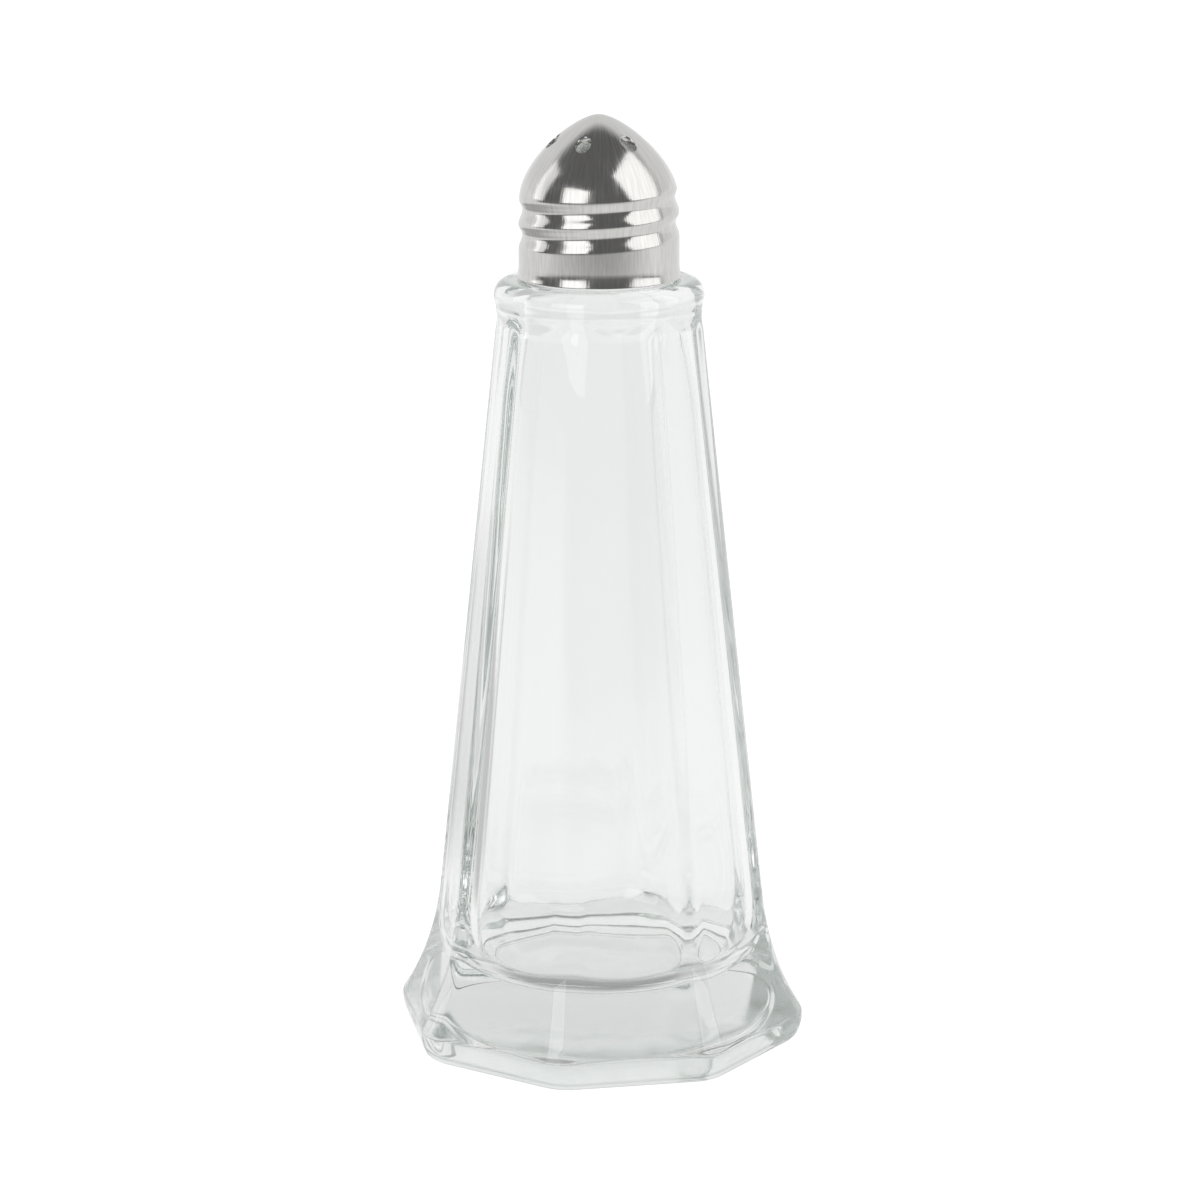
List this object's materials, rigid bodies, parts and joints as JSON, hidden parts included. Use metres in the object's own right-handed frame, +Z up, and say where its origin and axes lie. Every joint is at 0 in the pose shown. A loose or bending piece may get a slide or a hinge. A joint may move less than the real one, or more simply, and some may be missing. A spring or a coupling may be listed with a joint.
{
  "type": "salt shaker",
  "caption": "Tower-shaped table salt shaker: a tapered, faceted clear glass jar on a flared foot, closed by a pointed steel screw cap with pouring holes.",
  "frame": {"origin": "centre of the foot, on the surface that the shaker stands on", "axes": "+Z up along the axis of the jar and cap; X and Y each square to a flat side of the foot"},
  "size_m": [0.048, 0.048, 0.115],
  "materials": {
    "clear_glass": "clear, fire-polished",
    "stainless_steel": "bright, lightly brushed"
  },
  "bodies": {
    "jar": {"glass_body": "clear_glass"},
    "cap": {"screw_cap": "stainless_steel"}
  },
  "joints": [
    {"name": "cap_lift", "type": "slide", "parent": "jar", "child": "cap", "axis": [0, 0, 1], "range_m": [0, 0.025]}
  ]
}
